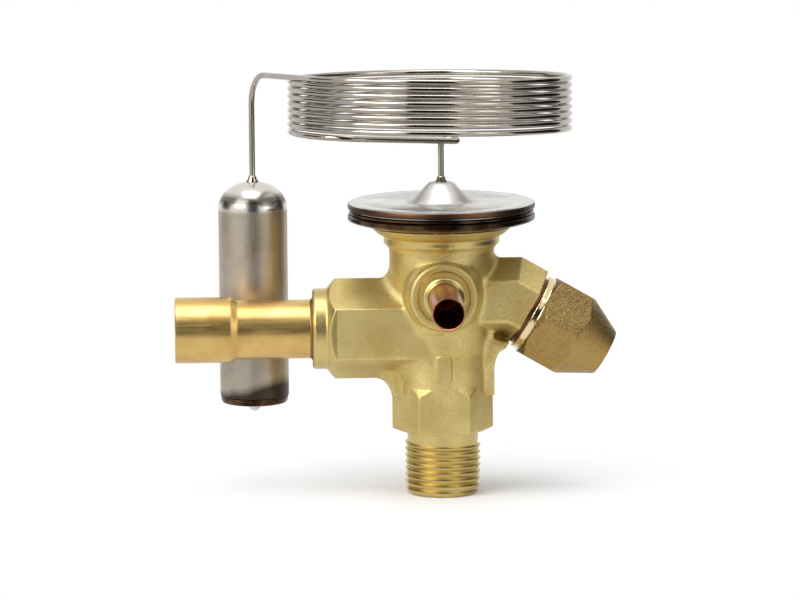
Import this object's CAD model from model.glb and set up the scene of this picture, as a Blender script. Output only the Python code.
import math

import bmesh
import bpy
from mathutils import Matrix, Vector


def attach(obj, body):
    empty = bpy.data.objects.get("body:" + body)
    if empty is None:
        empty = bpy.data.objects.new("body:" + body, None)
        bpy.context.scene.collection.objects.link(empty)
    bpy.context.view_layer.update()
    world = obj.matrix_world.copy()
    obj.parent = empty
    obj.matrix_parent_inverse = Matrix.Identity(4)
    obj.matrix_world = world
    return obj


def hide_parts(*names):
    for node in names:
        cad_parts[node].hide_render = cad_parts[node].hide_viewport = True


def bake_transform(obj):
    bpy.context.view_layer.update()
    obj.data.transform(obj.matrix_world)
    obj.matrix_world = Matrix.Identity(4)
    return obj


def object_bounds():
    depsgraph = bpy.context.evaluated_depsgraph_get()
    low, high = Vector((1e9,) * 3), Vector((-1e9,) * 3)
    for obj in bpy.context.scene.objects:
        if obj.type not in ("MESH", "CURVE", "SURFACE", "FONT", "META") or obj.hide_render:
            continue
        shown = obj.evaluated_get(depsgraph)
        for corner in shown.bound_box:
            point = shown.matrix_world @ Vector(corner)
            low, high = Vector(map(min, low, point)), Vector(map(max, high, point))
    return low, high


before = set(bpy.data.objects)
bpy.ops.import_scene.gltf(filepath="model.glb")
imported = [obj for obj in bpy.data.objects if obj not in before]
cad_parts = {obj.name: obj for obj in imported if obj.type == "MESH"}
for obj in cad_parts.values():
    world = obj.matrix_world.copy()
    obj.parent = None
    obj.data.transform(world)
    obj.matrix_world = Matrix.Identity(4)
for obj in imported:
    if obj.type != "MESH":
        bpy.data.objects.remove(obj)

cad_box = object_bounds()

# Forged body, brass: pressed hot in two dies, blasted with fine grit, then turned at its
# ends and inside. The skin keeps the forging's soft corners, the turned faces stay crisp.
MM = 0.001
WELD_DISTANCE = 1e-6
SKIN_VOXEL = 0.23 * MM
SKIN_KEPT = 0.32
CORNER_PASSES = 4
RIDGE_PASSES = 70
RIDGE_X = 7.5 * MM
RIDGE_LOW = 23.2 * MM
RIDGE_HIGH = 36.8 * MM
RIDGE_REACH = 6.5 * MM
RIDGE_FADE = 1.2 * MM
PAD_HALF = 1.9 * MM
PAD_Z = 28.3 * MM
PAD_Y = -9.2 * MM
FOOT_NEAR = 7.7 * MM
FOOT_FAR = 11.0 * MM
FOOT_Y = -5.5 * MM
FLAT_R = 9.5 * MM
FLAT_SWELL = 0.25 * MM
FLAT_LOW = 18.5 * MM
FLAT_HIGH = 22.8 * MM
STUB_CORE_R = 7.02 * MM
THREAD_CREST = 7.9375 * MM
THREAD_END = 11.4 * MM
STUB_LENGTH = 14.0 * MM
BODY_TOP = 56.5 * MM
COLLAR_LOW = 54.9 * MM
COLLAR_HIGH = 56.6 * MM
BLANK_R = 7.7 * MM
OUTLET_Z = 36.2 * MM
OUTLET_TURNED = -22.9 * MM
EQUALIZER_Z = 44.5 * MM
EQUALIZER_TURNED = -12.6 * MM
APEX = Vector((0, 0, 50.5 * MM))
DROP = math.radians(30)
BRANCH = Vector((math.cos(DROP), 0, -math.sin(DROP)))
BOSS_END = 21.2 * MM
FORGED_BRASS = "DCC98A"
FORGED_BRASS_DARK = "CBB471"
FORGED_SPECK = "AE985E"
TURNED_BRASS = "CDB878"
GRIT = 0.34 * MM
PIT = 0.9 * MM
FORGED_CLOUD = 9 * MM
TURNED_EDGE = 0.1 * MM
PITTED_FROM = 10 * MM
PITTED_TO = 15 * MM
BRANCH_REACH = 11 * MM


def linear(hex_colour):
    """sRGB hex to the linear values that Blender's sockets take."""
    channels = [int(hex_colour[i:i + 2], 16) / 255 for i in (0, 2, 4)]
    return [c / 12.92 if c <= 0.04045 else ((c + 0.055) / 1.055) ** 2.4 for c in channels] + [1.0]


def add_node(tree, kind, inputs=None, **settings):
    """Adds a node, sets its properties, and sets or links its inputs by name or index."""
    node = tree.nodes.new(kind)
    for key, value in settings.items():
        setattr(node, key, value)
    for key, value in (inputs or {}).items():
        if isinstance(value, bpy.types.NodeSocket):
            tree.links.new(value, node.inputs[key])
        else:
            node.inputs[key].default_value = value
    return node


def new_material(name, **shader):
    """Material with one Principled shader; values go on the shader's own sockets."""
    made = bpy.data.materials.new(name)
    made.use_nodes = True
    made.node_tree.nodes.clear()
    principled = add_node(made.node_tree, "ShaderNodeBsdfPrincipled", shader)
    add_node(made.node_tree, "ShaderNodeOutputMaterial", {"Surface": principled.outputs[0]})
    return made, made.node_tree, principled


def noise(tree, vector, size, detail=2.0, roughness=0.5):
    return add_node(tree, "ShaderNodeTexNoise", {
        "Vector": vector, "Scale": 1 / size, "Detail": detail, "Roughness": roughness})


def ramp(tree, factor, low, high, low_value=0.0, high_value=1.0):
    return add_node(tree, "ShaderNodeMapRange", {
        "Value": factor, "From Min": low, "From Max": high,
        "To Min": low_value, "To Max": high_value}).outputs[0]


def mixed(tree, factor, first, second):
    node = add_node(tree, "ShaderNodeMix", data_type="RGBA")
    for index, value in ((0, factor), (6, first), (7, second)):
        if isinstance(value, bpy.types.NodeSocket):
            tree.links.new(value, node.inputs[index])
        else:
            node.inputs[index].default_value = value
    return node.outputs[2]


def maths(tree, operation, *values):
    node = add_node(tree, "ShaderNodeMath", dict(enumerate(values)), operation=operation)
    return node.outputs[0]


def vector_maths(tree, operation, *values):
    return add_node(tree, "ShaderNodeVectorMath", dict(enumerate(values)), operation=operation)


def beyond(tree, vector, direction, distance):
    """1 where a point lies further than distance along direction, else 0."""
    along = vector_maths(tree, "DOT_PRODUCT", vector, direction).outputs["Value"]
    return maths(tree, "GREATER_THAN", along, distance)


def forged_brass():
    """Free-cutting brass, forged and grit blasted: matt yellow with a fine sandy sparkle.
    Turned ends are brighter and smoother. The grit's dimples are drawn about three times as
    coarse as real ones, so that they show."""
    made, tree, shader = new_material("brass, forged and grit blasted", **{"Metallic": 1.0})
    place = add_node(tree, "ShaderNodeTexCoord").outputs["Object"]
    fine = noise(tree, place, GRIT, 2.0, 0.6).outputs[0]
    broad = noise(tree, place, FORGED_CLOUD, 2.0).outputs[0]
    pits = noise(tree, place, PIT, 1.0).outputs[0]
    collar = maths(tree, "MULTIPLY", beyond(tree, place, (0, 0, 1), COLLAR_LOW),
                   beyond(tree, place, (0, 0, -1), -COLLAR_HIGH))
    stub = beyond(tree, place, (0, 0, -1), -STUB_LENGTH - TURNED_EDGE)
    turned = maths(tree, "MAXIMUM", stub, collar)
    turned = maths(tree, "MAXIMUM", turned, beyond(tree, place, (-1, 0, 0), -OUTLET_TURNED))
    nipple = maths(tree, "MULTIPLY", beyond(tree, place, (1, 0, 0), BRANCH_REACH), beyond(
        tree, place, tuple(BRANCH), BOSS_END - TURNED_EDGE + APEX.dot(BRANCH)))
    turned = maths(tree, "MAXIMUM", turned, nipple)
    tint = mixed(tree, ramp(tree, broad, 0.35, 0.65), linear(FORGED_BRASS),
                 linear(FORGED_BRASS_DARK))
    along = add_node(tree, "ShaderNodeSeparateXYZ", {0: place}).outputs["X"]
    pitted = ramp(tree, along, PITTED_FROM, PITTED_TO, 0.54, 0.47)
    speck = maths(tree, "MULTIPLY", maths(tree, "SUBTRACT", fine, pitted), 5.0)
    speck = add_node(tree, "ShaderNodeClamp", {"Value": speck, "Min": 0.0, "Max": 0.6}).outputs[0]
    tint = mixed(tree, speck, tint, linear(FORGED_SPECK))
    tint = mixed(tree, turned, tint, linear(TURNED_BRASS))
    tree.links.new(tint, shader.inputs["Base Color"])
    rough = ramp(tree, fine, 0.3, 0.7, 0.46, 0.6)
    rough = maths(tree, "SUBTRACT", rough, maths(tree, "MULTIPLY", turned, 0.16))
    tree.links.new(rough, shader.inputs["Roughness"])
    grain = maths(tree, "ADD", maths(tree, "MULTIPLY", fine, 0.7),
                  maths(tree, "MULTIPLY", pits, 0.5))
    strength = ramp(tree, turned, 0.0, 1.0, 0.7, 0.04)
    bump = add_node(tree, "ShaderNodeBump", {
        "Height": grain, "Distance": 0.05 * MM, "Strength": strength})
    tree.links.new(bump.outputs[0], shader.inputs["Normal"])
    return made


def evaluated(piece):
    """Applies a piece's modifiers by taking its evaluated mesh, and removes them."""
    graph = bpy.context.evaluated_depsgraph_get()
    graph.update()
    mesh = bpy.data.meshes.new_from_object(piece.evaluated_get(graph), depsgraph=graph)
    piece.modifiers.clear()
    old = piece.data
    piece.data = mesh
    mesh.name = piece.name
    if isinstance(old, bpy.types.Mesh):
        bpy.data.meshes.remove(old)
    return piece


def new_piece(name, mesh):
    piece = bpy.data.objects.new(name, mesh)
    bpy.context.scene.collection.objects.link(piece)
    return piece


def cad_copy(name, node):
    """A welded copy of a CAD node's mesh, to be worked on."""
    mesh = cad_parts[node].data.copy()
    mesh.name = name
    work = bmesh.new()
    work.from_mesh(mesh)
    bmesh.ops.remove_doubles(work, verts=work.verts, dist=WELD_DISTANCE)
    work.to_mesh(mesh)
    work.free()
    mesh.materials.clear()
    return new_piece(name, mesh)


def smooth_shading(piece, degrees=30):
    piece.data.shade_smooth()
    piece.data.set_sharp_from_angle(angle=math.radians(degrees))


def dress(piece, made, body, slot, *nodes):
    """Gives a piece its material, body, slot and the CAD nodes it stands for."""
    piece.data.materials.clear()
    piece.data.materials.append(made)
    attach(piece, body)
    if nodes:
        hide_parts(*nodes)
    return piece


def turned_face(co):
    """Whether a point of the body lies on a face that was turned after forging."""
    along = (co - APEX).dot(BRANCH)
    return (co.z < STUB_LENGTH + 0.3 * MM or co.z > COLLAR_LOW or co.x < OUTLET_TURNED
            or co.y < EQUALIZER_TURNED or along > BOSS_END - 0.5 * MM)


def on_pad(co):
    """Whether a point is on the small raised pad in front, whose edge stays crisp."""
    return (abs(co.x) < PAD_HALF and abs(co.z - PAD_Z) < 2 * PAD_HALF and co.y < PAD_Y)


def planed(co):
    """Sets a point of the lower hexagon back on the wrench flats, which run out into the
    barrel at their top."""
    if not STUB_LENGTH < co.z < FLAT_HIGH:
        return
    rise = max(0.0, (co.z - FLAT_LOW) / (FLAT_HIGH - FLAT_LOW))
    for side in range(6):
        angle = math.radians(30 + 60 * side)
        normal = Vector((math.cos(angle), math.sin(angle), 0))
        over = co.dot(normal) - FLAT_R - FLAT_SWELL * rise
        if 0 < over < FLAT_SWELL * 1.2:
            co -= normal * over


def body_skin():
    piece = cad_copy("forged_body", "valve_body")
    for vertex in piece.data.vertices:
        radius = math.hypot(vertex.co.x, vertex.co.y)
        reach = STUB_CORE_R if vertex.co.z < THREAD_END else BLANK_R
        on_stub = vertex.co.z < STUB_LENGTH + WELD_DISTANCE
        if on_stub and reach < radius < THREAD_CREST + WELD_DISTANCE:
            vertex.co.x *= reach / radius
            vertex.co.y *= reach / radius
    remesh = piece.modifiers.new("skin", "REMESH")
    remesh.mode = "VOXEL"
    remesh.voxel_size = SKIN_VOXEL
    evaluated(piece)
    for vertex in piece.data.vertices:
        planed(vertex.co)
    soft = piece.vertex_groups.new(name="soft")
    chosen = [v.index for v in piece.data.vertices if not (turned_face(v.co) or on_pad(v.co))]
    soft.add(chosen, 1.0, "REPLACE")
    drafted = piece.vertex_groups.new(name="drafted")
    for vertex in piece.data.vertices:
        out = abs(vertex.co.x) - RIDGE_X
        inside = min(out, RIDGE_REACH - out, vertex.co.z - RIDGE_LOW, RIDGE_HIGH - vertex.co.z)
        foot = math.hypot(vertex.co.x, vertex.co.z - EQUALIZER_Z)
        inside = max(inside, min(foot - FOOT_NEAR, FOOT_FAR - foot, FOOT_Y - vertex.co.y))
        if inside > 0 and not turned_face(vertex.co):
            drafted.add([vertex.index], min(1.0, inside / RIDGE_FADE), "REPLACE")
    for group, passes in (("soft", CORNER_PASSES), ("drafted", RIDGE_PASSES)):
        corners = piece.modifiers.new(group, "SMOOTH")
        corners.vertex_group = group
        corners.factor = 0.5
        corners.iterations = passes
    even = piece.modifiers.new("even", "SMOOTH")
    even.factor = 0.5
    even.iterations = 1
    thin = piece.modifiers.new("thin", "DECIMATE")
    thin.ratio = SKIN_KEPT
    evaluated(piece)
    smooth_shading(piece, 50)
    return piece


dress(body_skin(), forged_brass(), "body", "forged_brass", "valve_body")

# Inlet thread, 5/8 inch with 18 turns to the inch: rolled on the turned stub, so its
# crests are bright. One helical ridge, cut back by the chamfer at the stub's end.
THREAD_PITCH = 25.4 / 18 * MM
THREAD_START = 0.2 * MM
THREAD_CREST_WIDTH = 0.22 * MM
THREAD_ROOT_SHARE = 0.98
THREAD_LOWEST = 0.05 * MM
CHAMFER_R = 7.15 * MM
CHAMFER_LENGTH = 1.1 * MM


def brass_turned():
    """Turned brass: smooth, with faint feed marks round the axis."""
    made, tree, shader = new_material("brass, turned and rolled", **{
        "Metallic": 1.0, "Base Color": linear(TURNED_BRASS), "Roughness": 0.32})
    place = add_node(tree, "ShaderNodeTexCoord").outputs["Object"]
    marks = noise(tree, place, 0.3 * MM, 3.0)
    bump = add_node(tree, "ShaderNodeBump", {
        "Height": marks.outputs[0], "Distance": 0.02 * MM, "Strength": 0.15})
    tree.links.new(bump.outputs[0], shader.inputs["Normal"])
    return made


def new_tree(name, sizes):
    """Geometry tree with named size inputs and one geometry output."""
    tree = bpy.data.node_groups.new(name, "GeometryNodeTree")
    for label, value in sizes.items():
        kind = "NodeSocketInt" if isinstance(value, int) else "NodeSocketFloat"
        if isinstance(value, bpy.types.Material):
            kind = "NodeSocketMaterial"
        socket = tree.interface.new_socket(label, in_out="INPUT", socket_type=kind)
        socket.default_value = value
    tree.interface.new_socket("Geometry", in_out="OUTPUT", socket_type="NodeSocketGeometry")
    return tree, add_node(tree, "NodeGroupInput").outputs


def grown(name, tree, sizes):
    """Runs a geometry tree on an empty mesh and keeps the result as a plain mesh."""
    piece = new_piece(name, bpy.data.meshes.new(name))
    modifier = piece.modifiers.new("grow", "NODES")
    modifier.node_group = tree
    for item in tree.interface.items_tree:
        if item.in_out == "INPUT":
            modifier[item.identifier] = sizes[item.name]
    return evaluated(piece)


def thread_ridge(made):
    height = THREAD_END - THREAD_START
    sizes = {"Turns": height / THREAD_PITCH, "Radius": (STUB_CORE_R + THREAD_CREST) / 2,
             "Height": height, "Root width": THREAD_PITCH * THREAD_ROOT_SHARE,
             "Crest width": THREAD_CREST_WIDTH, "Depth": THREAD_CREST - STUB_CORE_R,
             "Material": made}
    tree, given = new_tree("thread", sizes)
    path = add_node(tree, "GeometryNodeCurveSpiral", {
        "Resolution": 96, "Rotations": given["Turns"], "Start Radius": given["Radius"],
        "End Radius": given["Radius"], "Height": given["Height"]})
    upright = add_node(tree, "GeometryNodeSetCurveNormal", {"Curve": path.outputs[0]}, mode="Z_UP")
    flank = add_node(tree, "GeometryNodeCurvePrimitiveQuadrilateral", {
        "Bottom Width": given["Root width"], "Top Width": given["Crest width"],
        "Offset": 0.0, "Height": given["Depth"]}, mode="TRAPEZOID")
    swept = add_node(tree, "GeometryNodeCurveToMesh", {
        "Curve": upright.outputs[0], "Profile Curve": flank.outputs[0], "Fill Caps": True})
    coated = add_node(tree, "GeometryNodeSetMaterial", {
        "Geometry": swept.outputs[0], "Material": given["Material"]})
    real = add_node(tree, "GeometryNodeRealizeInstances", {"Geometry": coated.outputs[0]})
    add_node(tree, "NodeGroupOutput", {"Geometry": real.outputs[0]})
    ridge = grown("inlet_thread_ridge", tree, sizes)
    for vertex in ridge.data.vertices:
        vertex.co.z += THREAD_START
        radius = math.hypot(vertex.co.x, vertex.co.y)
        cut = CHAMFER_R + (THREAD_CREST - CHAMFER_R) * vertex.co.z / CHAMFER_LENGTH
        vertex.co.z = max(vertex.co.z, THREAD_LOWEST)
        if radius > cut:
            vertex.co.x *= cut / radius
            vertex.co.y *= cut / radius
    return ridge


turned_brass = brass_turned()
ridge = thread_ridge(turned_brass)
smooth_shading(ridge, 35)
dress(ridge, turned_brass, "body", "turned_brass")

# Outlet tube, copper alloy: drawn, its end swaged to a solder socket, annealed to a
# satin gold and silver-brazed into the turned ring of the body.
TUBE_START = 19.5 * MM
TUBE_R = 6.35 * MM
TUBE_BORE = 5.6 * MM
SWAGE_START = 44.0 * MM
SWAGE_END = 46.0 * MM
SOCKET_R = 7.1 * MM
SOCKET_BORE = 6.4 * MM
TUBE_END = 57.7 * MM
OUTLET_RING_END = 28.0 * MM
STREAK_WIDTH = 0.25 * MM
STREAK_LENGTH = 6 * MM
DRAWN_CLOUD = 7 * MM
TUBE_GOLD = "DEBD78"
TUBE_GOLD_DARK = "C9A562"
BRAZE_METAL = "8A6E40"
BRAZE_METAL_DARK = "8A6A38"


def turned(name, profile, origin=(0, 0, 0), axis=(0, 0, 1), segments=128):
    """Closed solid of revolution from (radius, height) points, outline run anticlockwise."""
    work = bmesh.new()
    facing = Vector(axis).to_track_quat("Z", "Y").to_matrix().to_4x4()
    facing.translation = Vector(origin)
    rings = []
    for radius, height in profile:
        if radius < WELD_DISTANCE:
            rings.append([work.verts.new(facing @ Vector((0, 0, height)))] * segments)
            continue
        row = []
        for step in range(segments):
            angle = 2 * math.pi * step / segments
            row.append(work.verts.new(facing @ Vector(
                (radius * math.cos(angle), radius * math.sin(angle), height))))
        rings.append(row)
    for index, lower in enumerate(rings):
        upper = rings[(index + 1) % len(rings)]
        for step in range(segments):
            following = (step + 1) % segments
            corners = []
            for vertex in (lower[step], lower[following], upper[following], upper[step]):
                if vertex not in corners:
                    corners.append(vertex)
            if len(corners) > 2:
                work.faces.new(corners)
    bmesh.ops.recalc_face_normals(work, faces=work.faces)
    mesh = bpy.data.meshes.new(name)
    work.to_mesh(mesh)
    work.free()
    return new_piece(name, mesh)


def drawn_metal(name, light, dark, roughness, along, relief=0.12):
    """Drawn tube or bar: lengthwise streaks on a clean surface, drawn wider than real die
    lines so that they show."""
    made, tree, principled = new_material(name, **{"Metallic": 1.0})
    place = add_node(tree, "ShaderNodeTexCoord").outputs["Object"]
    stretch = [1.0, 1.0, 1.0]
    stretch["XYZ".index(along)] = STREAK_WIDTH / STREAK_LENGTH
    pulled = add_node(tree, "ShaderNodeMapping", {"Vector": place, "Scale": stretch})
    streaks = noise(tree, pulled.outputs[0], STREAK_WIDTH, 3.0, 0.6).outputs[0]
    clouds = noise(tree, place, DRAWN_CLOUD, 2.0).outputs[0]
    tint = mixed(tree, ramp(tree, clouds, 0.35, 0.65), linear(light), linear(dark))
    tree.links.new(tint, principled.inputs["Base Color"])
    tree.links.new(ramp(tree, streaks, 0.3, 0.7, roughness - 0.06, roughness + 0.08),
                   principled.inputs["Roughness"])
    bump = add_node(tree, "ShaderNodeBump", {
        "Height": streaks, "Distance": 0.02 * MM, "Strength": relief})
    tree.links.new(bump.outputs[0], principled.inputs["Normal"])
    return made


outlet = turned("outlet_solder_tube", [
    (TUBE_BORE, TUBE_START), (TUBE_R, TUBE_START), (TUBE_R, SWAGE_START),
    (TUBE_R + 0.08 * MM, SWAGE_START + 0.7 * MM), (SOCKET_R - 0.08 * MM, SWAGE_END - 0.7 * MM),
    (SOCKET_R, SWAGE_END), (SOCKET_R, TUBE_END - 0.2 * MM), (SOCKET_R - 0.2 * MM, TUBE_END),
    (SOCKET_BORE, TUBE_END), (SOCKET_BORE, SWAGE_END + 0.5 * MM),
    (TUBE_BORE, SWAGE_START + 0.5 * MM)], (0, 0, OUTLET_Z), (-1, 0, 0))
smooth_shading(outlet, 40)
tube_metal = drawn_metal(
    "copper alloy, drawn and annealed", TUBE_GOLD, TUBE_GOLD_DARK, 0.34, "X", relief=0.02)
dress(outlet, tube_metal, "body", "outlet_copper_alloy", "outlet_tube")

braze_metal = drawn_metal("silver braze, as flowed", BRAZE_METAL, BRAZE_METAL_DARK, 0.35, "Z")
outlet_fillet = turned("outlet_braze_fillet", [
    (TUBE_R, OUTLET_RING_END), (TUBE_R + 0.6 * MM, OUTLET_RING_END),
    (TUBE_R + 0.2 * MM, OUTLET_RING_END + 0.2 * MM), (TUBE_R, OUTLET_RING_END + 0.6 * MM)],
    (0, 0, OUTLET_Z), (-1, 0, 0))
smooth_shading(outlet_fillet, 60)
dress(outlet_fillet, braze_metal, "body", "braze_silver", "outlet_braze")

# External equaliser: a turned collar and a short copper tube, brazed in the front boss.
# Its cut end shows bright copper, its bore is dark from the brazing heat.
EQ_START = 10.4 * MM
EQ_R = 3.6 * MM
EQ_BORE = 3.2 * MM
EQ_END = 36.8 * MM
EQ_COLLAR_START = 12.5 * MM
EQ_COLLAR_END = 16.1 * MM
EQ_COLLAR_R = 4.5 * MM
COPPER = "D4A07C"
COPPER_DARK = "BE8A64"
BORE_OXIDE = "A8432C"


def bored_copper():
    """Drawn copper with a scale of dark oxide inside the bore."""
    made = drawn_metal("copper, drawn, oxidised bore", COPPER, COPPER_DARK, 0.3, "Y")
    tree = made.node_tree
    shader = next(n for n in tree.nodes if n.type == "BSDF_PRINCIPLED")
    place = add_node(tree, "ShaderNodeTexCoord").outputs["Object"]
    centred = add_node(tree, "ShaderNodeMapping", {
        "Vector": place, "Location": (0, 0, -EQUALIZER_Z), "Scale": (1, 0, 1)})
    away = vector_maths(tree, "LENGTH", centred.outputs[0])
    inside = maths(tree, "LESS_THAN", away.outputs["Value"], EQ_BORE + 0.04 * MM)
    deep = beyond(tree, place, (0, 1, 0), -EQ_END + 0.15 * MM)
    outer = shader.inputs["Base Color"].links[0].from_socket
    bore = maths(tree, "MULTIPLY", inside, deep)
    tree.links.new(mixed(tree, bore, outer, linear(BORE_OXIDE)), shader.inputs["Base Color"])
    return made


eq_tube = turned("equalizer_copper_tube", [
    (EQ_BORE, EQ_START), (EQ_R, EQ_START), (EQ_R, EQ_END - 0.18 * MM),
    (EQ_R - 0.06 * MM, EQ_END - 0.05 * MM), (EQ_R - 0.18 * MM, EQ_END),
    (EQ_BORE + 0.08 * MM, EQ_END), (EQ_BORE, EQ_END - 0.08 * MM)],
    (0, 0, EQUALIZER_Z), (0, -1, 0), 96)
smooth_shading(eq_tube, 40)
dress(eq_tube, bored_copper(), "body", "copper", "equalizer_tube")
eq_collar = turned("equalizer_turned_collar", [
    (EQ_R + 0.02 * MM, EQ_COLLAR_START), (EQ_COLLAR_R, EQ_COLLAR_START),
    (EQ_COLLAR_R, EQ_COLLAR_END - 1.4 * MM), (EQ_COLLAR_R - 0.3 * MM, EQ_COLLAR_END - 1.2 * MM),
    (EQ_COLLAR_R - 0.3 * MM, EQ_COLLAR_END - 0.5 * MM), (EQ_COLLAR_R - 0.8 * MM, EQ_COLLAR_END),
    (EQ_R + 0.02 * MM, EQ_COLLAR_END)], (0, 0, EQUALIZER_Z), (0, -1, 0), 96)
smooth_shading(eq_collar, 30)
dress(eq_collar, turned_brass, "body", "turned_brass", "equalizer_collar")

# Seal cap over the setting spindle: hot-pressed brass hexagon with a conical nose. Its
# open end is turned bright; the pressed faces are coarser and browner than the body.
CAP_TURNED_END = 23.4 * MM
CAP_BROWN = "8E764A"
CAP_BROWN_DARK = "7C663E"
CAP_SPECK = "5A4728"
CAP_WORN = "B9A36E"
CAP_RUBBED = "B09156"
CAP_RUBBED_SIDE = (0.45, -0.65, -0.6)
CAP_TURNED = "E2CFA4"
CAP_GRIT = 0.42 * MM
CAP_CLOUD = 6 * MM
CAP_VOXEL = 0.18 * MM
CAP_PASSES = 3
CAP_KEPT = 0.5


def cap_brass():
    """Pressed brass, tumbled: coarse matt grain, browner, rubbed golden on its lower side;
    the turned lip is bright. The grain is drawn coarser than a real one, so that it shows."""
    made, tree, shader = new_material("brass, hot pressed and tumbled", **{"Metallic": 1.0})
    place = add_node(tree, "ShaderNodeTexCoord").outputs["Object"]
    fine = noise(tree, place, CAP_GRIT, 3.0, 0.7).outputs[0]
    broad = noise(tree, place, CAP_CLOUD, 2.0).outputs[0]
    facing = vector_maths(tree, "DOT_PRODUCT", place, tuple(BRANCH))
    along = maths(tree, "SUBTRACT", facing.outputs["Value"], APEX.dot(BRANCH))
    lip = maths(tree, "LESS_THAN", along, CAP_TURNED_END + 0.05 * MM)
    tint = mixed(tree, ramp(tree, broad, 0.35, 0.65), linear(CAP_BROWN), linear(CAP_BROWN_DARK))
    outward = add_node(tree, "ShaderNodeNewGeometry").outputs["Normal"]
    low_side = vector_maths(tree, "DOT_PRODUCT", outward, CAP_RUBBED_SIDE)
    rubbed = ramp(tree, low_side.outputs["Value"], 0.35, 0.8)
    tint = mixed(tree, rubbed, tint, linear(CAP_RUBBED))
    grain = ramp(tree, rubbed, 0.0, 1.0, 0.7, 0.25)
    speck = maths(tree, "MULTIPLY", ramp(tree, fine, 0.5, 0.62), grain)
    tint = mixed(tree, speck, tint, linear(CAP_SPECK))
    worn = maths(tree, "MULTIPLY", ramp(tree, fine, 0.46, 0.36, 0.0, 0.7), grain)
    tint = mixed(tree, worn, tint, linear(CAP_WORN))
    tree.links.new(mixed(tree, lip, tint, linear(CAP_TURNED)), shader.inputs["Base Color"])
    rough = ramp(tree, lip, 0.0, 1.0, 0.44, 0.12)
    tree.links.new(rough, shader.inputs["Roughness"])
    bump = add_node(tree, "ShaderNodeBump", {
        "Height": fine, "Distance": 0.14 * MM, "Strength": ramp(tree, lip, 0.0, 1.0, 0.8, 0.02)})
    tree.links.new(bump.outputs[0], shader.inputs["Normal"])
    return made


cap = cad_copy("hexagon_seal_cap", "seal_cap")
cap_skin = cap.modifiers.new("skin", "REMESH")
cap_skin.mode = "VOXEL"
cap_skin.voxel_size = CAP_VOXEL
cap_soft = cap.modifiers.new("corners", "SMOOTH")
cap_soft.factor = 0.5
cap_soft.iterations = CAP_PASSES
cap_thin = cap.modifiers.new("thin", "DECIMATE")
cap_thin.ratio = CAP_KEPT
evaluated(cap)
smooth_shading(cap, 50)
dress(cap, cap_brass(), "cap", "cap_brass", "seal_cap")

# Diaphragm element, stainless: two pressed halves with the diaphragm between them, welded
# all round the rim, where the heat has left brown and blue-black tints.
ELEMENT_R = 20.2 * MM
RING_R = 19.9 * MM
RIM_BOTTOM = 59.9 * MM
RING_BOTTOM = 61.1 * MM
RING_TOP = 62.05 * MM
COVER_UNDER = 62.25 * MM
COVER_TOP = 63.6 * MM
ELEMENT_INNER = 16.2 * MM
CONE_TOP = 67.9 * MM
CONE_BASE = 6.6 * MM
CAPILLARY_R = 0.65 * MM
STAINLESS = "CFCDC9"
STAINLESS_DULL = "BDBBB6"
PRESSED_CLOUD = 5 * MM
HEAT_CLOUD = 4 * MM
HEAT_BROWN = "5E4430"
HEAT_DARK = "241B15"
PLUG_FOOT = 17.8 * MM


def polished_steel():
    """Stainless pressed from bright sheet: near-mirror, clouded, browned down its rim, the
    cone more satin."""
    made, tree, shader = new_material("stainless steel, bright pressed", **{"Metallic": 1.0})
    place = add_node(tree, "ShaderNodeTexCoord").outputs["Object"]
    clouds = noise(tree, place, PRESSED_CLOUD, 3.0).outputs[0]
    rim = beyond(tree, place, (0, 0, -1), -COVER_TOP + 0.1 * MM)
    flat = vector_maths(tree, "MULTIPLY", place, (1, 1, 0))
    away = vector_maths(tree, "LENGTH", flat.outputs[0]).outputs["Value"]
    cone = ramp(tree, away, CONE_BASE, CONE_BASE + 1.5 * MM, 0.22, 0.0)
    gloss = ramp(tree, clouds, 0.3, 0.7, 0.14, 0.2)
    gloss = maths(tree, "ADD", gloss, maths(tree, "MULTIPLY", rim, 0.2))
    tree.links.new(maths(tree, "ADD", gloss, cone), shader.inputs["Roughness"])
    dull = mixed(tree, ramp(tree, clouds, 0.35, 0.65), linear(STAINLESS),
                 linear(STAINLESS_DULL))
    tree.links.new(mixed(tree, rim, dull, linear(HEAT_BROWN)), shader.inputs["Base Color"])
    return made


def heat_tinted_steel():
    """Stainless beside a weld: brown to near black in patches, half matt; the ball under the
    bulb is clean."""
    made, tree, shader = new_material("stainless steel, heat tinted", **{"Metallic": 1.0})
    place = add_node(tree, "ShaderNodeTexCoord").outputs["Object"]
    patches = noise(tree, place, HEAT_CLOUD, 3.0).outputs[0]
    tint = mixed(tree, ramp(tree, patches, 0.35, 0.65), linear(HEAT_BROWN), linear(HEAT_DARK))
    ball = beyond(tree, place, (0, 0, -1), -PLUG_FOOT + 0.1 * MM)
    tree.links.new(mixed(tree, ball, tint, linear(STAINLESS)), shader.inputs["Base Color"])
    tree.links.new(ramp(tree, patches, 0.3, 0.7, 0.22, 0.36), shader.inputs["Roughness"])
    return made


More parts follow.
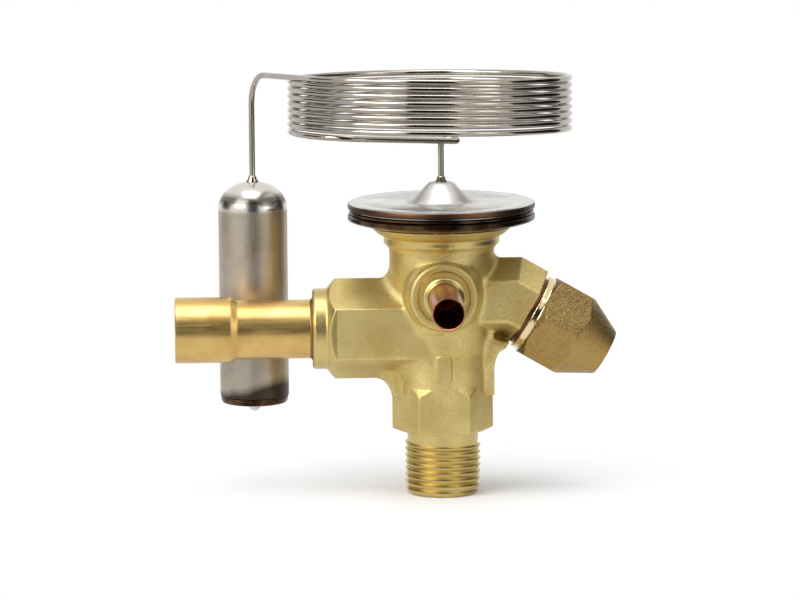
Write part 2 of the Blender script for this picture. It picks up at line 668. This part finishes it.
tinted = heat_tinted_steel()
lower_cup = turned("element_lower_cup", [
    (8.2 * MM, BODY_TOP), (11.9 * MM, BODY_TOP), (13.4 * MM, 57.4 * MM), (14.5 * MM, 58.2 * MM),
    (15.6 * MM, 58.7 * MM), (18.6 * MM, 59.4 * MM), (ELEMENT_R - 0.25 * MM, RIM_BOTTOM - 0.1 * MM),
    (ELEMENT_R, RIM_BOTTOM + 0.2 * MM), (ELEMENT_R, RING_BOTTOM - 0.25 * MM),
    (ELEMENT_R - 0.35 * MM, RING_BOTTOM), (ELEMENT_INNER, RING_BOTTOM),
    (ELEMENT_INNER, 60.0 * MM), (14.2 * MM, 59.2 * MM), (12.8 * MM, 58.3 * MM),
    (8.2 * MM, 57.6 * MM)], segments=160)
smooth_shading(lower_cup, 35)
dress(lower_cup, tinted, "body", "stainless_rim", "element_cup")
middle_ring = turned("element_middle_ring", [
    (ELEMENT_INNER, RING_BOTTOM), (RING_R - 0.35 * MM, RING_BOTTOM),
    (RING_R, RING_BOTTOM + 0.28 * MM),
    (RING_R, RING_TOP - 0.28 * MM), (RING_R - 0.35 * MM, RING_TOP), (ELEMENT_INNER, RING_TOP)],
    segments=160)
smooth_shading(middle_ring, 35)
dress(middle_ring, tinted, "body", "stainless_rim", "clamp_ring")
cover = turned("element_cover_plate", [
    (CAPILLARY_R + 0.02 * MM, CONE_TOP - 1.6 * MM), (1.5 * MM, CONE_TOP - 1.6 * MM),
    (5.3 * MM, COVER_UNDER + 0.4 * MM), (15.8 * MM, COVER_UNDER + 0.4 * MM),
    (ELEMENT_INNER, COVER_UNDER),
    (ELEMENT_R - 0.3 * MM, COVER_UNDER), (ELEMENT_R, COVER_UNDER + 0.25 * MM),
    (ELEMENT_R, COVER_TOP - 0.45 * MM), (ELEMENT_R - 0.15 * MM, COVER_TOP - 0.12 * MM),
    (ELEMENT_R - 0.5 * MM, COVER_TOP), (16.4 * MM, COVER_TOP), (16.2 * MM, COVER_TOP - 0.05 * MM),
    (15.9 * MM, COVER_TOP - 0.05 * MM), (15.7 * MM, COVER_TOP), (7.0 * MM, COVER_TOP),
    (6.55 * MM, COVER_TOP + 0.1 * MM), (6.2 * MM, COVER_TOP + 0.4 * MM),
    (3.0 * MM, CONE_TOP - 0.45 * MM),
    (2.6 * MM, CONE_TOP - 0.15 * MM), (2.0 * MM, CONE_TOP), (CAPILLARY_R + 0.02 * MM, CONE_TOP)],
    segments=160)
smooth_shading(cover, 35)
dress(cover, polished_steel(), "body", "stainless_bright", "element_cover")

# Sensing bulb, stainless: deep-drawn can with a polished dome, closed at the foot by a
# plug whose weld has browned the metal, and balled off where the charge went in.
BULB_X = -40.5 * MM
BULB_Y = 15.5 * MM
BULB_R = 7.5 * MM
BULB_FOOT = 19.3 * MM
BULB_TOP = 66.5 * MM
DOME_HEIGHT = 5.8 * MM
DOME_FOOT = BULB_TOP - DOME_HEIGHT
DOME_STEPS = 24
DOME_BAND = 63.0 * MM
TIP_R = 1.5 * MM
BULB_STEEL = "BCB2A3"
BULB_STEEL_DARK = "A69B8B"
BULB_STRAW = "C0A878"
DOME_STEEL = "D8D2C8"
DOME_BAND_STEEL = "4A443F"
DOME_ROUGHNESS = 0.25
BULB_RELIEF = 0.12
BULB_CLOUD = 8 * MM


def satin_bulb_steel():
    """Deep-drawn stainless: satin, mottled grey-beige, straw on its right; polished over the
    dome with a dark band across it, browned at the foot."""
    made = drawn_metal("stainless steel, deep drawn", BULB_STEEL, BULB_STEEL_DARK, 0.4, "Z")
    tree = made.node_tree
    shader = next(n for n in tree.nodes if n.type == "BSDF_PRINCIPLED")
    place = add_node(tree, "ShaderNodeTexCoord").outputs["Object"]
    across, _, height = add_node(tree, "ShaderNodeSeparateXYZ", {0: place}).outputs
    uneven = noise(tree, place, BULB_CLOUD, 2.0).outputs[0]
    wave = maths(tree, "MULTIPLY", maths(tree, "SUBTRACT", uneven, 0.5), 3 * MM)
    level = maths(tree, "ADD", height, wave)
    side = ramp(tree, across, BULB_X - 3 * MM, BULB_X + 5 * MM, 0.0, 2.6 * MM)
    level = maths(tree, "SUBTRACT", level, side)
    burnt = ramp(tree, level, BULB_FOOT + 2.6 * MM, BULB_FOOT + 0.4 * MM)
    dome = ramp(tree, height, DOME_FOOT - 0.6 * MM, DOME_FOOT + 0.2 * MM)
    plain = shader.inputs["Base Color"].links[0].from_socket
    golden = ramp(tree, across, BULB_X + 1 * MM, BULB_X + 6 * MM, 0.0, 0.45)
    tint = mixed(tree, golden, plain, linear(BULB_STRAW))
    tint = mixed(tree, maths(tree, "MULTIPLY", burnt, 0.9), tint, linear(HEAT_DARK))
    tint = mixed(tree, dome, tint, linear(DOME_STEEL))
    band = maths(tree, "MULTIPLY", ramp(tree, height, DOME_BAND - 1.4 * MM, DOME_BAND - 0.5 * MM),
                 ramp(tree, height, DOME_BAND + 1.5 * MM, DOME_BAND + 0.4 * MM))
    tint = mixed(tree, maths(tree, "MULTIPLY", band, 0.85), tint, linear(DOME_BAND_STEEL))
    tree.links.new(tint, shader.inputs["Base Color"])
    rough = shader.inputs["Roughness"].links[0].from_socket
    gloss = mixed(tree, dome, rough, (DOME_ROUGHNESS, DOME_ROUGHNESS, DOME_ROUGHNESS, 1))
    tree.links.new(gloss, shader.inputs["Roughness"])
    bump = next(n for n in tree.nodes if n.type == "BUMP")
    tree.links.new(ramp(tree, dome, 0.0, 1.0, BULB_RELIEF, 0.0), bump.inputs["Strength"])
    return made


bulb_profile = [(0.0, BULB_FOOT), (BULB_R - 0.3 * MM, BULB_FOOT), (BULB_R, BULB_FOOT + 0.3 * MM),
                (BULB_R, DOME_FOOT)]
for step in range(1, DOME_STEPS):
    angle = math.radians(90 * step / DOME_STEPS)
    bulb_profile.append((BULB_R * math.cos(angle), DOME_FOOT + DOME_HEIGHT * math.sin(angle)))
bulb_profile.append((0.0, BULB_TOP))
bulb = turned("sensing_bulb_can", bulb_profile, (BULB_X, BULB_Y, 0))
smooth_shading(bulb, 35)
dress(bulb, satin_bulb_steel(), "body", "stainless_satin", "sensing_bulb")
plug = turned("bulb_foot_plug", [
    (0.0, PLUG_FOOT - 0.5 * MM - TIP_R), (0.8 * MM, PLUG_FOOT - 0.45 * MM - 0.8 * TIP_R),
    (1.35 * MM, PLUG_FOOT - 0.5 * MM - 0.35 * TIP_R), (TIP_R, PLUG_FOOT - 0.4 * MM),
    (1.5 * MM, PLUG_FOOT), (6.3 * MM, PLUG_FOOT), (6.9 * MM, PLUG_FOOT + 0.15 * MM),
    (7.2 * MM, PLUG_FOOT + 0.5 * MM), (BULB_R - 0.15 * MM, BULB_FOOT), (0.0, BULB_FOOT)],
    (BULB_X, BULB_Y, 0))
smooth_shading(plug, 35)
dress(plug, tinted, "body", "stainless_rim", "bulb_end_plug")

# Capillary tube, stainless: 1.3 mm drawn tube wound by hand into eight turns, one lead
# hooked down to the element, the other bent over to the bulb, brazed at both ends.
COIL_R = 30.05 * MM
COIL_PITCH = 1.542 * MM
COIL_CENTRE = Vector((-2.2 * MM, 2.0 * MM, 90.69 * MM))
COIL_TILT = math.radians(3.5)
COIL_LEAN = math.radians(0.5)
COIL_START = 240.0
COIL_SWEEP = 2855.0
COIL_STEP = 4.0
LEAD_CORNER = Vector((BULB_X, BULB_Y, 89.9 * MM))
HOOK_Z = 77.1 * MM
LEAD_RUN = 9.5 * MM
LEAD_BENDS = (22 * MM, 7 * MM)
HOOK_RUN = 7.5 * MM
HOOK_X = 3.4 * MM
HOOK_Y = -3.6 * MM
HOOK_BENDS = (7 * MM, 1.6 * MM, 1.6 * MM, 1.6 * MM)
END_SUNK = 0.5 * MM
CAPILLARY_STEEL = "ACA59A"
CAPILLARY_STEEL_DARK = "9A9388"
CAPILLARY_SIDES = 16


def coil_point(degrees):
    """Centre line of the coil at an angle from +X, the turns descending with the angle."""
    angle = math.radians(degrees)
    drop = COIL_PITCH * (degrees - 270) / 360
    flat = Vector((COIL_R * math.cos(angle), COIL_R * math.sin(angle), -drop))
    tilt = Matrix.Rotation(-COIL_TILT, 3, "X") @ Matrix.Rotation(COIL_LEAN, 3, "Y")
    return COIL_CENTRE + tilt @ flat


def bent_run(corners, radii, step=0.4 * MM):
    """Points along straight runs joined by round bends."""
    points = [corners[0]]
    for index, radius in enumerate(radii, 1):
        corner = corners[index]
        to_last = (corners[index - 1] - corner).normalized()
        to_next = (corners[index + 1] - corner).normalized()
        half = to_last.angle(to_next) / 2
        centre = corner + (to_last + to_next).normalized() * (radius / math.sin(half))
        toward = (corner - centre).normalized()
        sideways = (to_next - to_last).normalized()
        count = max(4, int(radius * (math.pi - 2 * half) / step))
        for turn in range(count + 1):
            angle = (math.pi / 2 - half) * (2 * turn / count - 1)
            points.append(centre + radius * (math.cos(angle) * toward + math.sin(angle) * sideways))
    points.append(corners[-1])
    return points


def tube_mesh(name, points, radius, sides):
    """Round tube along points, its section carried forward without twist; ends closed."""
    work = bmesh.new()
    rows = []
    across = None
    for index, point in enumerate(points):
        before = points[max(index - 1, 0)]
        after = points[min(index + 1, len(points) - 1)]
        run = (after - before).normalized()
        across = (across or run.orthogonal()) - run * (across or run.orthogonal()).dot(run)
        across.normalize()
        other = run.cross(across)
        row = []
        for side in range(sides):
            angle = 2 * math.pi * side / sides
            outward = math.cos(angle) * across + math.sin(angle) * other
            row.append(work.verts.new(point + radius * outward))
        rows.append(row)
    for lower, upper in zip(rows, rows[1:]):
        for side in range(sides):
            following = (side + 1) % sides
            work.faces.new((lower[side], lower[following], upper[following], upper[side]))
    work.faces.new(list(reversed(rows[0])))
    work.faces.new(rows[-1])
    bmesh.ops.recalc_face_normals(work, faces=work.faces)
    mesh = bpy.data.meshes.new(name)
    work.to_mesh(mesh)
    work.free()
    return new_piece(name, mesh)


def capillary_route():
    first, second = coil_point(COIL_START), coil_point(COIL_START + 1)
    away = (first - second).normalized()
    lead = bent_run([first, first + away * LEAD_RUN, LEAD_CORNER,
                     Vector((BULB_X, BULB_Y, BULB_TOP - END_SUNK))], LEAD_BENDS)
    turns = []
    for count in range(int(COIL_SWEEP / COIL_STEP) + 1):
        turns.append(coil_point(COIL_START + count * COIL_STEP))
    end = COIL_START + COIL_SWEEP
    last, earlier = coil_point(end), coil_point(end - 1)
    onward = (last - earlier).normalized()
    hook = bent_run([last, last + onward * HOOK_RUN, Vector((HOOK_X, HOOK_Y, HOOK_Z)),
                     Vector((HOOK_X, 0, HOOK_Z)), Vector((0, 0, HOOK_Z)),
                     Vector((0, 0, CONE_TOP - END_SUNK))], HOOK_BENDS)
    return list(reversed(lead)) + turns[1:] + hook


capillary = tube_mesh("capillary_wound", capillary_route(), CAPILLARY_R, CAPILLARY_SIDES)
smooth_shading(capillary, 60)
capillary_metal = drawn_metal(
    "stainless steel, drawn capillary", CAPILLARY_STEEL, CAPILLARY_STEEL_DARK, 0.1, "Z",
    relief=0.02)
dress(capillary, capillary_metal, "body", "capillary_steel", "capillary_tube")
for name, node, x, y, z in (("element_capillary_braze", "element_braze", 0.0, 0.0, CONE_TOP),
                            ("bulb_capillary_braze", "bulb_braze", BULB_X, BULB_Y, BULB_TOP)):
    collar = turned(name, [
        (CAPILLARY_R + 0.01 * MM, z - 0.1 * MM), (1.35 * MM, z - 0.1 * MM),
        (1.3 * MM, z + 0.15 * MM),
        (0.95 * MM, z + 0.6 * MM), (0.9 * MM, z + 1.0 * MM), (0.72 * MM, z + 1.3 * MM),
        (CAPILLARY_R + 0.01 * MM, z + 1.3 * MM)], (x, y, 0), segments=48)
    smooth_shading(collar, 60)
    dress(collar, capillary_metal, "body", "braze_silver", node)

# Pieces inside the body keep their modelled shape: turned brass and steel, the seals of
# black rubber. The cap's gasket is of soft copper, browned.
inner_steel = drawn_metal("stainless steel, turned", "BFBDB9", "ACA9A4", 0.25, "Z")
gasket_copper = drawn_metal("copper, soft washer", "6E4C36", "553A28", 0.35, "Z")


def moulded_rubber():
    """Nitrile rubber: black, matt, with a slight mould skin."""
    made, tree, shader = new_material("nitrile rubber, moulded", **{
        "Base Color": linear("1C1C1E"), "Roughness": 0.6, "IOR": 1.5})
    place = add_node(tree, "ShaderNodeTexCoord").outputs["Object"]
    skin = noise(tree, place, 0.2 * MM, 2.0)
    bump = add_node(tree, "ShaderNodeBump", {
        "Height": skin.outputs[0], "Distance": 0.02 * MM, "Strength": 0.2})
    tree.links.new(bump.outputs[0], shader.inputs["Normal"])
    return made


rubber = moulded_rubber()
inner_finish = {
    "adjusting_nut": turned_brass, "setting_spindle": turned_brass, "spindle_gland": turned_brass,
    "spring_cup": turned_brass, "pin_guide": turned_brass, "orifice_body": turned_brass,
    "spring_retainer": turned_brass, "spindle_oring": rubber, "pin_seal": rubber,
    "push_pin": inner_steel, "thrust_plate": inner_steel, "orifice_cone": inner_steel,
    "diaphragm": inner_steel, "inlet_strainer": inner_steel, "cap_gasket": gasket_copper}
for node, finish in inner_finish.items():
    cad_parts[node].data.materials.clear()
    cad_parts[node].data.materials.append(finish)

# Springs of hard-drawn wire: the lower end follows the body named first and the upper end
# the second, so the coils close up as the spring cup or the pin travels.
spring_wire = drawn_metal("spring steel, hard drawn", "8E8E90", "77777A", 0.3, "Z")
for node, lower, upper in (("superheat_spring", "cup", "body"), ("cone_spring", "body", "stem")):
    spring = cad_copy("coiled_" + node, node)
    spring.data.materials.append(spring_wire)
    smooth_shading(spring, 40)
    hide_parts(node)
    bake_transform(spring)

# Stage: a pale floor just under the lowest piece that fades into the white round it, dark
# cards that draw the bands on the polished steel, three soft boxes and a long lens.
ROOM_LIGHT = 0.55
FLOOR_HALF = 1.2
SHADOW_NEAR = 0.004
SHADOW_FAR = 0.06
CARD_GREY = "141312"
CAMERA_TARGET = Vector((-9.05 * MM, 0, 42.25 * MM))
CAMERA_AZIMUTH = math.radians(-1.9)
CAMERA_ELEVATION = math.radians(8.45)
CAMERA_ROLL = math.radians(0.45)
CAMERA_DISTANCE = 1.3
PIXELS_PER_METRE = 4630.0
FRAME_WIDTH = 800
SENSOR = 36.0


def rays_that_see(tree):
    """1 for the rays that look at the backdrop: from the camera, off gloss, through glass."""
    rays = add_node(tree, "ShaderNodeLightPath").outputs
    seen = maths(tree, "MAXIMUM", rays["Is Camera Ray"], rays["Is Glossy Ray"])
    return maths(tree, "MAXIMUM", seen, rays["Is Transmission Ray"])


def studio_floor():
    mesh = bpy.data.meshes.new("studio_floor")
    corners = [(-FLOOR_HALF, -FLOOR_HALF), (FLOOR_HALF, -FLOOR_HALF), (FLOOR_HALF, FLOOR_HALF),
               (-FLOOR_HALF, FLOOR_HALF)]
    mesh.from_pydata([(x, y, cad_box[0][2]) for x, y in corners], [], [(0, 1, 2, 3)])
    floor = new_piece("studio_floor", mesh)
    made = bpy.data.materials.new("paper, white sweep")
    made.use_nodes = True
    tree = made.node_tree
    tree.nodes.clear()
    paper = add_node(tree, "ShaderNodeBsdfDiffuse", {"Color": linear("F4F4F4")})
    white = add_node(tree, "ShaderNodeEmission", {"Color": (1, 1, 1, 1), "Strength": 1.0})
    place = add_node(tree, "ShaderNodeTexCoord").outputs["Object"]
    away = vector_maths(tree, "LENGTH", place).outputs["Value"]
    clear = maths(tree, "MULTIPLY", ramp(tree, away, SHADOW_NEAR, SHADOW_FAR), rays_that_see(tree))
    sweep = add_node(tree, "ShaderNodeMixShader", {
        0: clear, 1: paper.outputs[0], 2: white.outputs[0]})
    add_node(tree, "ShaderNodeOutputMaterial", {"Surface": sweep.outputs[0]})
    mesh.materials.append(made)


def dark_card(name, rows):
    """Matt black card that only reflections see, from rows of left and right corners."""
    mesh = bpy.data.meshes.new(name)
    corners = [corner for row in rows for corner in row]
    faces = [(i, i + 1, i + 3, i + 2) for i in range(0, len(corners) - 2, 2)]
    mesh.from_pydata(corners, [], faces)
    card = new_piece(name, mesh)
    card.visible_camera = False
    card.visible_diffuse = False
    card.visible_shadow = False
    made, _, _ = new_material(name + ", black card", **{
        "Base Color": linear(CARD_GREY), "Roughness": 1.0, "IOR": 1.5})
    mesh.materials.append(made)


def soft_box(name, place, size, power, target=(0, 0, 0.05)):
    light = bpy.data.lights.new(name, "AREA")
    light.shape = "RECTANGLE"
    light.size, light.size_y = size
    light.energy = power
    lamp = bpy.data.objects.new(name, light)
    bpy.context.scene.collection.objects.link(lamp)
    lamp.location = place
    lamp.rotation_euler = (Vector(target) - Vector(place)).to_track_quat("-Z", "Y").to_euler()


def studio_world():
    world = bpy.data.worlds.new("studio")
    bpy.context.scene.world = world
    world.use_nodes = True
    tree = world.node_tree
    tree.nodes.clear()
    strength = ramp(tree, rays_that_see(tree), 0.0, 1.0, ROOM_LIGHT, 1.0)
    glow = add_node(tree, "ShaderNodeBackground", {"Color": (1, 1, 1, 1), "Strength": strength})
    add_node(tree, "ShaderNodeOutputWorld", {"Surface": glow.outputs[0]})


def studio_camera():
    back = Vector((math.sin(CAMERA_AZIMUTH) * math.cos(CAMERA_ELEVATION),
                   -math.cos(CAMERA_AZIMUTH) * math.cos(CAMERA_ELEVATION),
                   math.sin(CAMERA_ELEVATION)))
    right = (-back).cross(Vector((0, 0, 1))).normalized()
    up = right.cross(-back)
    turned_right = math.cos(CAMERA_ROLL) * right - math.sin(CAMERA_ROLL) * up
    turned_up = math.sin(CAMERA_ROLL) * right + math.cos(CAMERA_ROLL) * up
    data = bpy.data.cameras.new("product_camera")
    data.sensor_width = SENSOR
    data.lens = PIXELS_PER_METRE * CAMERA_DISTANCE / FRAME_WIDTH * SENSOR
    data.clip_end = 10.0
    camera = bpy.data.objects.new("product_camera", data)
    bpy.context.scene.collection.objects.link(camera)
    axes = Matrix((turned_right, turned_up, back)).transposed().to_4x4()
    axes.translation = CAMERA_TARGET + back * CAMERA_DISTANCE
    camera.matrix_world = axes
    bpy.context.scene.camera = camera


studio_floor()
studio_world()
studio_camera()
dark_card("front_card", [
    ((-0.06, -0.15, 0.001), (0.06, -0.15, 0.001)), ((-0.6, -1.6, 0.001), (0.55, -1.6, 0.001)),
    ((-0.6, -1.6, 1.1), (0.55, -1.6, 1.1)),
    ((-0.35, -0.9, 1.4), (0.3, -0.9, 1.4))])
dark_card("right_card", [
    ((0.14, -0.06, 0.001), (0.12, 0.09, 0.001)), ((1.1, -0.5, 0.001), (0.95, 0.74, 0.001)),
    ((1.1, -0.5, 0.65), (0.95, 0.74, 0.65))])
dark_card("left_card", [
    ((-1.2, -0.1, 0.0), (-1.0, 0.7, 0.0)), ((-1.2, -0.1, 0.5), (-1.0, 0.7, 0.5))])
soft_box("key_box", (-0.8, -0.65, 0.8), (0.8, 0.8), 10)
soft_box("fill_box", (0.8, -0.75, 0.5), (0.35, 0.8), 1.5)
soft_box("top_box", (-0.05, -0.2, 1.2), (0.9, 0.7), 7)
bpy.context.scene.view_settings.view_transform = "Standard"
